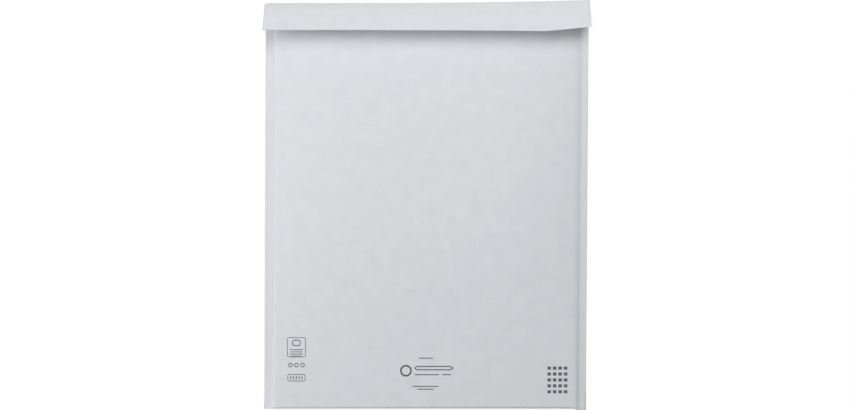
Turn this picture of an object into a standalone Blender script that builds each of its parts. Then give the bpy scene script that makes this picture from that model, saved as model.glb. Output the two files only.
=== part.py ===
"""A large white padded envelope, empty, lying on its back with its flap folded over the mouth.

X runs across the envelope, Y along it from the foot fold to the crease of the flap, and Z up
from the surface that it lies on. The origin is the middle of the overall size, on that surface.
Sizes are in metres and angles in degrees.

The outer paper is one sheet, so its outer face is worked out once, as one grid of points: down
the front panel from the mouth, round the foot fold, up the back panel, round the crease and out
to the free edge of the flap. Its inner face, the bubble lining, the glue and the release liner
are that same grid, sunk by a depth along its normals. The grid is worked out with Y at 0 on the
foot fold and X at 0 in the middle of the flap, and is then moved to the origin.
"""

import math

import bmesh
import bpy
import numpy as np

# Through the thickness
PAPER = 0.0003
GAP = 0.0003  # between pieces that lie on each other
LINING = 0.0032  # bubble film in the middle of a panel
LINING_AT_SEAM = 0.0022  # bubble film where the seams and the foot fold press it
POCKET = 0.0054  # open height between the two layers of film, in the middle
POCKET_AT_SEAM = 0.0020  # and along the seams and the foot fold
SEAM = 0.0008  # both layers of paper, bonded

# Outline of the body, seen from the front
BODY_LENGTH = 0.4543  # foot fold to mouth
MOUTH_WIDTH = 0.3712
FOOT_WIDTH = 0.3696
MOUTH_OFFSET = 0.0001  # middle of the width from the flap's middle, because the sides lean a little
FOOT_OFFSET = -0.0024
LEFT_SEAM_WIDTH = 0.0088
RIGHT_SEAM_WIDTH = 0.0090
RIGHT_SEAM_DROP = 0.0017  # the right seam ends this far beyond the foot fold
DROP_REACH = 0.0065  # how far into the panel the foot fold bends down to it
LEFT_FOOT_FLARE = 0.0009  # the left seam's lower corner stands out this far
FLARE_REACH = 0.0120

# How the panels swell between the seams
LEFT_SHOULDER = 0.0075  # the front rises steeply from the seam over this width
RIGHT_SHOULDER = 0.0058  # at the foot fold
RIGHT_SHOULDER_AT_MOUTH = 0.0095
LEFT_SEAM_LIFT = 0.0009  # the seams stand higher than half the bag's edge
RIGHT_SEAM_LIFT = 0.0013
BACK_SHOULDER = 0.0080  # and the back sinks to the surface over this one
SHOULDER_POWER = 3.0
CROWN_START = 0.45  # this far up the shoulder's width the gentle swelling of the front begins
CROWN_REACH = 0.1000  # and it runs over this width
CROWN_POWER = 2.5
RISE_REACH = 0.2200  # and over this length from the foot fold
SEAM_DROOP = 0.0002  # outer edge of a seam below its inner edge
FOOT_ROUND = 0.92  # depth of the foot fold over half its height
GLUE_LINE = 0.0008  # solid paper and glue inside the seam
LINING_INSET = 0.0040  # lining from the seam's inner edge

# Mouth, crease and flap
LINING_SETBACK = 0.0020  # lining behind the front panel's lip
MOUTH_TO_CREASE = 0.0118
CREASE_RADIUS = 0.0065
CREASE_RISE = 0.0035  # the crease runs off square towards its right end
CREASE_TURN = -0.0700  # and leaves the square at this X
CREASE_POWER = 2.0
FLAP_WIDTH = 0.3727
FLAP_LENGTH = 0.0404  # from the crease's end to the free edge
LIFT_LEFT = 28.0  # slope of the flap above level
LIFT_RIGHT = 25.7
LIFT_POWER = 4.0
CORNER_CUT = 0.0040  # the free edge is cut back this far at its right corner
CORNER_LIFT = 6.0  # and the corner springs up this much more
CORNER_REACH = 0.0550
CORNER_POWER = 1.25
FLAP_CURL = 5.0  # added from the crease to the free edge
ROLL = 25.0  # added where the crease rolls out into the flap, less towards its right end
ROLL_REACH = 0.0100  # and gone over about this length
ROLL_POWER = 3.0
CREASE_END_RISE = 0.0010  # the crease's ends stand this far off the surface
CREASE_END_REACH = 0.0600  # and sink to it over this width

# Closing strip on the inner face of the flap
GLUE_THICKNESS = 0.0003
GLUE_WIDTH = 0.0180
GLUE_MARGIN = 0.0060  # from the flap's free edge
GLUE_END = 0.0050  # from the flap's ends
LINER_THICKNESS = 0.0003
LINER_OVERLAP = 0.0020  # liner beyond the glue, on both of its long sides
LINER_END = 0.0025

# How finely the curved stretches are divided
FOLD_STEPS = 5  # a quarter turn of the foot fold
CREASE_STEPS = 10
PANEL_COLUMNS = (0.0022, 0.0095, 0.0150, 0.0260, 0.0440, 0.0700, 0.1050)
PANEL_ROWS = (0.0080, 0.0250, 0.0500, 0.0800, 0.1100, 0.1450, 0.1800, 0.2200, 0.3000, 0.4000)
SHARP_ANGLE = 40.0

# Heights and places that follow from these
SKIN = PAPER + GAP
EDGE_HEIGHT = 2 * (SKIN + LINING_AT_SEAM) + POCKET_AT_SEAM
CROWN_HEIGHT = 2 * (SKIN + LINING) + POCKET
SEAM_HEIGHT = EDGE_HEIGHT / 2
FOLD_DEPTH = SEAM_HEIGHT * FOOT_ROUND
CREASE_Y = BODY_LENGTH + MOUTH_TO_CREASE
PANEL_LENGTH = BODY_LENGTH - FOLD_DEPTH

FRONT, BACK = 1, -1
LEFT, RIGHT = -1, 1
SEAM_WIDTH = {LEFT: LEFT_SEAM_WIDTH, RIGHT: RIGHT_SEAM_WIDTH}
SEAM_LIFT = {LEFT: LEFT_SEAM_LIFT, RIGHT: RIGHT_SEAM_LIFT}


def ease(share, power):
    """Rises from 0 at share 0, steeply at first, to 1 at share 1 and level beyond it."""
    return 1.0 - (1.0 - min(max(share, 0.0), 1.0)) ** power


def swing(share):
    """Rises from 0 at share 0 to 1 at share 1, level at both ends."""
    share = min(max(share, 0.0), 1.0)
    return share * share * (3.0 - 2.0 * share)


def body_edge(side, y):
    """X of the outer edge of one side seam at y."""
    share = y / BODY_LENGTH
    middle = FOOT_OFFSET + (MOUTH_OFFSET - FOOT_OFFSET) * share
    width = FOOT_WIDTH + (MOUTH_WIDTH - FOOT_WIDTH) * share
    flare = 0.0
    if side == LEFT:
        flare = LEFT_FOOT_FLARE * max(0.0, 1.0 - y / FLARE_REACH) ** 2
    return middle + side * (width / 2 + flare)


class Column:
    """One line of points along the sheet, a fixed way in from the edge of its side."""

    def __init__(self, side, from_edge):
        self.side = side
        self.from_edge = from_edge  # None is the middle of the sheet

    def x(self, y):
        """X on the body at y."""
        if self.from_edge is None:
            return (body_edge(LEFT, y) + body_edge(RIGHT, y)) / 2
        return body_edge(self.side, y) - self.side * self.from_edge

    def flap_x(self):
        """X on the flap, which is cut a little wider than the sealed body draws in to."""
        return (self.x(BODY_LENGTH) - MOUTH_OFFSET) * FLAP_WIDTH / MOUTH_WIDTH

    def inward(self):
        """Distance into the panel from the seam's inner edge, negative on the seam."""
        if self.from_edge is None:
            return (FOOT_WIDTH - LEFT_SEAM_WIDTH - RIGHT_SEAM_WIDTH) / 2
        return self.from_edge - SEAM_WIDTH[self.side]

    def swell(self, width):
        """0 on the seam, rising to 1 at a width into the panel."""
        return ease(self.inward() / width, SHOULDER_POWER)

    def shoulder(self, up_panel):
        """Width over which the front panel rises steeply from the seam."""
        if self.side == LEFT or self.from_edge is None:
            return LEFT_SHOULDER
        widening = RIGHT_SHOULDER_AT_MOUTH - RIGHT_SHOULDER
        return RIGHT_SHOULDER + widening * up_panel / PANEL_LENGTH

    def foot(self):
        """Y of the tip of the foot fold, or of the seam's lower end."""
        if self.side == LEFT or self.from_edge is None:
            return 0.0
        return -RIGHT_SEAM_DROP * (1.0 - ease(self.inward() / DROP_REACH, 2.0))

    def fold_depth(self):
        """How far the foot fold's round runs up the panel."""
        return SEAM / 2 + (FOLD_DEPTH - SEAM / 2) * self.swell(self.shoulder(0.0))

    def middle_height(self):
        """Height of the tip of the foot fold and of the middle of a seam."""
        if self.from_edge is None:
            return SEAM_HEIGHT
        droop = SEAM_DROOP * max(0.0, -self.inward() / SEAM_WIDTH[self.side])
        return SEAM_HEIGHT + SEAM_LIFT[self.side] * (1.0 - self.swell(CROWN_REACH)) - droop

    def crown(self, up_panel):
        """0 along the seams and the foot fold, 1 where the panel is fully swollen."""
        start = CROWN_START * self.shoulder(up_panel)
        across = ease((self.inward() - start) / CROWN_REACH, CROWN_POWER)
        return across * swing(up_panel / RISE_REACH)

    def front_height(self, up_panel):
        """Height of the front panel's outer face."""
        seam = self.middle_height() + SEAM / 2
        rise = (EDGE_HEIGHT - seam) * self.swell(self.shoulder(up_panel))
        return seam + rise + (CROWN_HEIGHT - EDGE_HEIGHT) * self.crown(up_panel)

    def back_height(self):
        """Height of the back panel's outer face, which lies flat on the surface."""
        return (self.middle_height() - SEAM / 2) * (1.0 - self.swell(BACK_SHOULDER))

    def body_point(self, face, share, turn):
        """A point on the outer face of the body.

        share runs from the foot fold, 0, to the mouth, 1, and turn from 0 at the tip of the foot
        fold to a quarter turn where the flat of the panel begins.
        """
        foot, depth = self.foot(), self.fold_depth()
        up_panel = (BODY_LENGTH - foot - depth) * share
        y = foot + depth * (1.0 - math.cos(turn)) + up_panel
        middle = self.middle_height()
        level = self.front_height(up_panel) if face == FRONT else self.back_height()
        return self.x(y), y, middle + (level - middle) * math.sin(turn)

    def crease_y(self):
        """The furthest Y of the crease."""
        share = (self.flap_x() - CREASE_TURN) / (FLAP_WIDTH / 2 - CREASE_TURN)
        return CREASE_Y + CREASE_RISE * max(0.0, share) ** CREASE_POWER

    def crease_base(self):
        """Height of the sheet's outer face where the crease begins."""
        if self.from_edge is None:
            return 0.0
        return CREASE_END_RISE * (1.0 - ease(self.from_edge / CREASE_END_REACH, 2.0))

    def corner(self):
        """0 on most of the flap, rising to 1 at its right corner."""
        return max(0.0, 1.0 - (FLAP_WIDTH / 2 - self.flap_x()) / CORNER_REACH) ** CORNER_POWER

    def lift(self):
        """Slope of the flap where it leaves the crease, in radians."""
        share = max(0.0, self.flap_x() / FLAP_WIDTH + 0.5)
        slope = LIFT_LEFT + (LIFT_RIGHT - LIFT_LEFT) * share**LIFT_POWER
        return math.radians(slope + CORNER_LIFT * self.corner())

    def roll(self):
        """How much steeper the flap starts than it runs on, in radians."""
        share = min(max(self.flap_x() / FLAP_WIDTH + 0.5, 0.0), 1.0)
        return math.radians(ROLL) * (1.0 - share**ROLL_POWER)

    def cut(self):
        """Length of the flap here, as a share of its full length."""
        return 1.0 - CORNER_CUT / FLAP_LENGTH * self.corner()

    def lip_point(self, share):
        """A point on the back panel between the mouth, share 0, and the crease, share 1."""
        y = BODY_LENGTH + (self.crease_y() - CREASE_RADIUS - BODY_LENGTH) * share
        x = self.x(BODY_LENGTH) + (self.flap_x() - self.x(BODY_LENGTH)) * share
        return x, y, self.back_height() + (self.crease_base() - self.back_height()) * share

    def crease_point(self, share):
        """A point round the crease, from the back panel, share 0, to the flap, share 1."""
        turn = (math.pi - self.lift() - self.roll()) * share
        y = self.crease_y() - CREASE_RADIUS + CREASE_RADIUS * math.sin(turn)
        z = self.crease_base() + CREASE_RADIUS * (1.0 - math.cos(turn))
        return self.flap_x(), y, z

    def flap_point(self, along):
        """A point on the flap's outer face, along from the end of the crease."""
        x, y, z = self.crease_point(1.0)
        along *= self.cut()
        reaches = along / ROLL_REACH
        slope = self.lift() + math.radians(FLAP_CURL) * along / FLAP_LENGTH / 2
        slope += self.roll() * (1.0 - math.exp(-reaches)) / reaches
        return x, y - along * math.cos(slope), z + along * math.sin(slope)


def columns():
    """Every column across the sheet, from its left edge to its right edge."""
    on_seam = [0.0, LINER_END, GLUE_END]
    on_panel = [0.0, GLUE_LINE, LINING_INSET, LINING_INSET + LINING_AT_SEAM, *PANEL_COLUMNS]

    def of_side(side):
        return [Column(side, at) for at in on_seam + [SEAM_WIDTH[side] + at for at in sorted(on_panel)]]

    return of_side(LEFT) + [Column(LEFT, None)] + of_side(RIGHT)[::-1]


def body_stations():
    """(share, turn) of each row of points from the mouth down to the foot fold's tip."""
    quarter = math.pi / 2
    setback = 1.0 - LINING_SETBACK / PANEL_LENGTH
    rows = [(at / PANEL_LENGTH, quarter) for at in (*PANEL_ROWS, 0.0)]
    rows = sorted([*rows, (setback, quarter), (1.0, quarter)], reverse=True)
    return rows + [(0.0, quarter * k / FOLD_STEPS) for k in range(FOLD_STEPS - 1, -1, -1)]


def flap_stations():
    """Distance of each row of points on the flap from the end of the crease."""
    glue_far = FLAP_LENGTH - GLUE_MARGIN
    glue_near = glue_far - GLUE_WIDTH
    liner = [glue_near - LINER_OVERLAP, glue_far + LINER_OVERLAP]
    rolled = [ROLL_REACH * share for share in (0.4, 1.0, 2.0)]
    return sorted([*rolled, *liner, glue_near, (glue_near + glue_far) / 2, glue_far, FLAP_LENGTH])


class Sheet:
    """The paper's outer face as a grid of points, with their normals."""

    def __init__(self):
        self.columns = columns()
        body = body_stations()
        self.tip = len(body) - 1
        self.mouth = 2 * self.tip  # row of the back panel that lies under the front panel's lip
        rows = [[c.body_point(FRONT, *at) for c in self.columns] for at in body]
        rows += [[c.body_point(BACK, *at) for c in self.columns] for at in body[-2::-1]]
        rows += [[c.lip_point(share) for c in self.columns] for share in (0.5, 1.0)]
        rows += [
            [c.crease_point(k / CREASE_STEPS) for c in self.columns]
            for k in range(1, CREASE_STEPS + 1)
        ]
        self.flap = len(rows)  # first row of the flap
        rows += [[c.flap_point(at) for c in self.columns] for at in flap_stations()]
        self.points = self.centred(np.array(rows))
        self.normals = self.vertex_normals()

    def centred(self, points):
        """The grid moved so that the origin is the middle of its overall size, at its base."""
        low, high = points.min(axis=(0, 1)), points.max(axis=(0, 1))
        return points - [(low[0] + high[0]) / 2, (low[1] + high[1]) / 2, low[2]]

    def vertex_normals(self):
        """The mean normal of the faces round each point."""
        p = self.points
        faces = np.cross(p[1:, 1:] - p[:-1, :-1], p[:-1, 1:] - p[1:, :-1])
        faces /= np.linalg.norm(faces, axis=2, keepdims=True)
        total = np.zeros_like(p)
        for rows in (slice(0, -1), slice(1, None)):
            for cols in (slice(0, -1), slice(1, None)):
                total[rows, cols] += faces
        return total / np.linalg.norm(total, axis=2, keepdims=True)

    def sunk(self, depth):
        """The grid moved inwards, by one depth or by a grid of depths."""
        depths = np.broadcast_to(depth, self.points.shape[:2])
        return self.points - self.normals * depths[..., None]

    def column_at(self, from_edge, side=LEFT):
        """Number of the column at a distance from the sheet's edge."""
        gaps = [
            abs(c.from_edge - from_edge) if c.from_edge is not None and c.side == side else math.inf
            for c in self.columns
        ]
        return gaps.index(min(gaps))

    def lining_depths(self):
        """How deep the pocket's face of the lining lies at each point."""
        body = body_stations()
        body = body + body[-2::-1]
        depths = np.full(self.points.shape[:2], SKIN + LINING)
        for row, (share, _) in enumerate(body):
            for number, column in enumerate(self.columns):
                crown = column.crown((BODY_LENGTH - column.foot() - column.fold_depth()) * share)
                depths[row, number] = SKIN + LINING_AT_SEAM + (LINING - LINING_AT_SEAM) * crown
        return depths


def vertices(bm, points):
    """A grid of mesh vertices at a grid of points."""
    return [[bm.verts.new(p) for p in row] for row in points]


def add_grid(bm, grid):
    """The faces of a grid of vertices."""
    for near, far in zip(grid[:-1], grid[1:]):
        add_strip(bm, near, far)


def add_strip(bm, near, far):
    """The faces between two equal lines of vertices."""
    for k in range(len(near) - 1):
        bm.faces.new((near[k], near[k + 1], far[k + 1], far[k]))


def add_side(bm, line, first=()):
    """Joins front to back along one side of a folded grid.

    line runs down the front and up the back. The face at the mouth also takes the vertices in
    first, which lie between the two ends.
    """
    last = len(line) - 1
    for k in range(last // 2):
        corners = [line[k], line[k + 1], line[last - k - 1], line[last - k]]
        if corners[1] is corners[2]:
            corners.pop(2)
        bm.faces.new(corners + (list(first) if k == 0 else []))


def column_of(grid, number):
    """One column of a grid of vertices."""
    return [row[number] for row in grid]


def add_object(name, bm, material):
    """Turns a closed mesh into a named object."""
    bmesh.ops.recalc_face_normals(bm, faces=bm.faces)
    mesh = bpy.data.meshes.new(name)
    bm.to_mesh(mesh)
    bm.free()
    mesh.materials.append(material)
    mesh.shade_smooth()
    mesh.set_sharp_from_angle(angle=math.radians(SHARP_ANGLE))
    thing = bpy.data.objects.new(name, mesh)
    bpy.context.collection.objects.link(thing)
    return thing


def make_material(name, colour, roughness):
    """A plain finish."""
    material = bpy.data.materials.new(name)
    material.use_nodes = True
    shader = material.node_tree.nodes["Principled BSDF"]
    shader.inputs["Base Color"].default_value = (*colour, 1.0)
    shader.inputs["Roughness"].default_value = roughness
    shader.inputs["Metallic"].default_value = 0.0
    return material


def make_outer_paper(sheet):
    """The folded paper: both panels, the foot fold, the seams, the crease and the flap."""
    bm = bmesh.new()
    outer = vertices(bm, sheet.points)
    inner_points = sheet.sunk(PAPER)
    mouth = sheet.mouth
    first = sheet.column_at(LEFT_SEAM_WIDTH + GLUE_LINE, LEFT)
    last = sheet.column_at(RIGHT_SEAM_WIDTH + GLUE_LINE, RIGHT)

    # The inner face reaches across the whole sheet only beyond the mouth, past the seams
    body = vertices(bm, inner_points[:mouth, first : last + 1])
    beyond = vertices(bm, inner_points[mouth:])
    bag = body + [beyond[0][first : last + 1]]

    add_grid(bm, outer)
    add_grid(bm, bag)
    add_grid(bm, beyond)
    add_side(bm, column_of(bag, 0))
    add_side(bm, column_of(bag, -1))
    add_side(bm, column_of(outer[: mouth + 1], 0), (beyond[0][0],))
    add_side(bm, column_of(outer[: mouth + 1], -1), (beyond[0][-1],))
    for edge in (0, -1):
        add_strip(bm, column_of(outer[mouth:], edge), column_of(beyond, edge))
    add_strip(bm, outer[-1], beyond[-1])

    # The lip, and the mouth's end of each seam
    add_strip(bm, outer[0][first : last + 1], bag[0])
    add_strip(bm, outer[0][:first], beyond[0][:first])
    add_strip(bm, outer[0][last + 1 :], beyond[0][last + 1 :])
    for seam, panel, corner in ((first - 1, first, bag[0][0]), (last + 1, last, bag[0][-1])):
        bm.faces.new((outer[0][seam], outer[0][panel], corner, beyond[0][panel], beyond[0][seam]))
    paper = make_material("white_paper", (0.70, 0.71, 0.73), 0.62)
    return add_object("outer_paper", bm, paper)


def make_bubble_lining(sheet):
    """The bag of bubble film, as a plain bag with the film's full thickness."""
    bm = bmesh.new()
    left = sheet.column_at(LEFT_SEAM_WIDTH + LINING_INSET, LEFT)
    right = sheet.column_at(RIGHT_SEAM_WIDTH + LINING_INSET, RIGHT)
    rows = slice(1, sheet.mouth)
    outer = vertices(bm, sheet.sunk(SKIN)[rows, left : right + 1])
    inner = vertices(bm, sheet.sunk(sheet.lining_depths())[rows, left + 1 : right])
    for grid in (outer, inner):
        add_grid(bm, grid)
        add_side(bm, column_of(grid, 0))
        add_side(bm, column_of(grid, -1))
    for row in (0, -1):
        add_strip(bm, outer[row][1:-1], inner[row])
    for edge, next_in in ((0, 1), (-1, -2)):
        ring = (outer[0][edge], outer[0][next_in], inner[0][edge])
        ring += (inner[-1][edge], outer[-1][next_in], outer[-1][edge])
        bm.faces.new(ring)
    film = make_material("bubble_film", (0.78, 0.80, 0.82), 0.30)
    return add_object("bubble_lining", bm, film)


def make_strip(name, sheet, depth, thickness, ends, rows, material):
    """A thin strip along the flap's inner face, between two rows of the sheet."""
    bm = bmesh.new()
    cols = slice(sheet.column_at(ends, LEFT), sheet.column_at(ends, RIGHT) + 1)
    near = vertices(bm, sheet.sunk(depth)[rows, cols])
    far = vertices(bm, sheet.sunk(depth + thickness)[rows, cols])
    add_grid(bm, near)
    add_grid(bm, far)
    for edge in (0, -1):
        add_strip(bm, near[edge], far[edge])
        add_strip(bm, column_of(near, edge), column_of(far, edge))
    return add_object(name, bm, material)


def make_closing_strip(sheet):
    """The glue on the flap and the liner that covers it."""
    stations = flap_stations()
    glue_far = FLAP_LENGTH - GLUE_MARGIN
    glue_near = glue_far - GLUE_WIDTH

    def rows(near, far):
        first = min(range(len(stations)), key=lambda k: abs(stations[k] - near))
        last = min(range(len(stations)), key=lambda k: abs(stations[k] - far))
        return slice(sheet.flap + first, sheet.flap + last + 1)

    glue = make_material("hot_melt_glue", (0.75, 0.66, 0.45), 0.35)
    make_strip("adhesive_strip", sheet, SKIN, GLUE_THICKNESS, GLUE_END, rows(glue_near, glue_far), glue)
    liner = make_material("liner_film", (0.80, 0.82, 0.84), 0.40)
    liner_rows = rows(glue_near - LINER_OVERLAP, glue_far + LINER_OVERLAP)
    depth = SKIN + GLUE_THICKNESS + GAP
    make_strip("release_liner", sheet, depth, LINER_THICKNESS, LINER_END, liner_rows, liner)


def main():
    for thing in list(bpy.data.objects):
        bpy.data.objects.remove(thing)
    sheet = Sheet()
    make_outer_paper(sheet)
    make_bubble_lining(sheet)
    make_closing_strip(sheet)


main()
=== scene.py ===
"""A large white padded envelope, empty, lying on its back with its flap folded over the mouth.

X runs across the envelope, Y along it from the foot fold to the crease of the flap, and Z up from
the surface that it lies on. Sizes are in metres and angles in degrees.

The paper is one sheet, so its outer face is worked out once, as a grid of points: down the front
panel from the mouth, round the foot fold, up the back panel, round the crease and out to the free
edge of the flap. The paper's inner face, the bubble lining, the closing strip and the printed
marks are all laid on that grid at their own depth.
"""

import logging
import math
from dataclasses import dataclass, field
from enum import Enum

import bmesh
import bpy
import numpy as np
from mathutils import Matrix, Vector


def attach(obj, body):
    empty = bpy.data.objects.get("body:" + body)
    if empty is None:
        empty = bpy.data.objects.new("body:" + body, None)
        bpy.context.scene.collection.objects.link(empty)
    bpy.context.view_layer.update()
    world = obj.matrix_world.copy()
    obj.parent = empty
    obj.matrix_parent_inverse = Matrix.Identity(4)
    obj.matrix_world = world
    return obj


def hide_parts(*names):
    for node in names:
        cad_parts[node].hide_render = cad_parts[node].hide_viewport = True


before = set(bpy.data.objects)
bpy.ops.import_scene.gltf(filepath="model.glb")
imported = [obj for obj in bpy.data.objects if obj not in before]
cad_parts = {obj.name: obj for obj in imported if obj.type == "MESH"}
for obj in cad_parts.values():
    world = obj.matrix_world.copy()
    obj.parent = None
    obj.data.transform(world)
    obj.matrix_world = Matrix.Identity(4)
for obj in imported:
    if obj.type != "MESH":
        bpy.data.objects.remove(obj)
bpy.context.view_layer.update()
log = logging.getLogger("padded_envelope")

PICTURE_WIDTH = 854
SHARP_ANGLE = 40.0  # edges that turn more than this stay sharp
SAME = 1e-7  # lengths that differ by less are the same

Socket = bpy.types.NodeSocket
Thing = bpy.types.Object


def placed(name: str, data: bpy.types.ID) -> Thing:
    """Puts a new object into the scene."""
    thing = bpy.data.objects.new(name, data)
    bpy.context.collection.objects.link(thing)
    return thing


def grey(level: float) -> tuple[float, float, float, float]:
    """A neutral colour."""
    return (level, level, level, 1.0)


def ease(share: np.ndarray, power: float = 2.0) -> np.ndarray:
    """Rises from 0 at share 0, steeply at first, to 1 at share 1 and level beyond it."""
    return 1.0 - (1.0 - np.clip(share, 0.0, 1.0)) ** power


def swing(share: np.ndarray | float) -> np.ndarray:
    """Rises from 0 at share 0 to 1 at share 1, level at both ends."""
    share = np.clip(share, 0.0, 1.0)
    return share * share * (3.0 - 2.0 * share)


def fade(distance: np.ndarray, reach: float) -> np.ndarray:
    """1 at distance 0, falling smoothly to nothing a few reaches away."""
    return np.exp(-((np.asarray(distance) / reach) ** 2))


def graded(stops: list[float], step: float, end: float) -> list[float]:
    """Places along a line, close together at first and then evenly spaced.

    Args:
        stops: the first places, rising.
        step: the most that two places after them may lie apart.
        end: the last place.

    Returns:
        The places, from the first stop to the end.
    """
    count = math.ceil((end - stops[-1]) / step)
    return stops + [stops[-1] + (end - stops[-1]) * k / count for k in range(1, count + 1)]


def between(grid: np.ndarray, row: np.ndarray, col: np.ndarray) -> np.ndarray:
    """A grid's values at row and column numbers that may lie between two of each.

    Args:
        grid: the values, rows by columns.
        row: the row numbers.
        col: the column numbers, as many.

    Returns:
        The values there.
    """
    r = np.clip(row.astype(int), 0, len(grid) - 2)
    c = np.clip(col.astype(int), 0, grid.shape[1] - 2)
    each = row.shape + (1,) * (grid.ndim - 2)
    down, over = (row - r).reshape(each), (col - c).reshape(each)
    near = grid[r, c] * (1 - over) + grid[r, c + 1] * over
    far = grid[r + 1, c] * (1 - over) + grid[r + 1, c + 1] * over
    return near * (1 - down) + far * down


def distances_along(points: np.ndarray) -> np.ndarray:
    """Distance of each point of a line from its first point, measured along the line."""
    return np.concatenate([[0.0], np.cumsum(np.linalg.norm(np.diff(points, axis=0), axis=1))])


class Face(Enum):
    """The two panels of the bag."""

    FRONT = 1
    BACK = -1


@dataclass(frozen=True)
class Wall:
    """Layers of the wall, from the outside in."""

    paper: float = 0.0003
    gap: float = 0.0003  # between pieces that lie on each other
    lining: float = 0.0032  # bubble film in the middle of a panel
    lining_at_seam: float = 0.0022  # where the seams and the foot fold press it
    pocket: float = 0.0054  # open height between the two layers of film, in the middle
    pocket_at_seam: float = 0.0020
    seam: float = 0.0008  # both layers of paper, bonded

    @property
    def skin(self) -> float:
        """Depth of the lining's outer face below the paper's."""
        return self.paper + self.gap

    @property
    def edge_height(self) -> float:
        """Height of the bag along its seams and its foot fold."""
        return 2 * (self.skin + self.lining_at_seam) + self.pocket_at_seam

    @property
    def crown_height(self) -> float:
        """Height of the bag where its panels are fully swollen."""
        return 2 * (self.skin + self.lining) + self.pocket


@dataclass(frozen=True)
class Pucker:
    """A short ridge that a seam has pressed into the front panel."""

    x: float
    y: float
    heading: float
    length: float
    width: float
    height: float

    def relief(self, x: np.ndarray, y: np.ndarray) -> np.ndarray:
        """Height of the ridge at points of the front panel."""
        turn = math.radians(self.heading)
        along = (x - self.x) * math.cos(turn) + (y - self.y) * math.sin(turn)
        across = (y - self.y) * math.cos(turn) - (x - self.x) * math.sin(turn)
        return self.height * fade(along, self.length) * fade(across, self.width)


@dataclass(frozen=True)
class Ripples:
    """Shallow slanting waves in the front panel, where the paper gives over the bubble film."""

    seed: int = 7
    waves: int = 30
    shortest: float = 0.028
    longest: float = 0.060
    heading: float = 116.0  # the way that the waves travel, from +X
    spread: float = 26.0
    height: float = 0.00011
    calm: float = 0.35  # share of the height away from the corner where they are strongest
    strongest: tuple[float, float] = (-0.110, 0.090)
    reach: float = 0.130

    def relief(self, x: np.ndarray, y: np.ndarray) -> np.ndarray:
        """Height of the waves at points of the front panel.

        Args:
            x: X of the points.
            y: Y of the points.

        Returns:
            The heights.
        """
        draw = np.random.default_rng(self.seed)
        total = np.zeros_like(x)
        for _ in range(self.waves):
            turn = math.radians(self.heading + self.spread * draw.uniform(-1.0, 1.0))
            length = draw.uniform(self.shortest, self.longest)
            phase = draw.uniform(0.0, 2 * math.pi)
            along = x * math.cos(turn) + y * math.sin(turn)
            total += np.sin(2 * math.pi * along / length + phase)
        total /= math.sqrt(self.waves / 2)
        away = np.hypot(x - self.strongest[0], y - self.strongest[1])
        return self.height * total * (self.calm + (1.0 - self.calm) * fade(away, self.reach))


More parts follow.
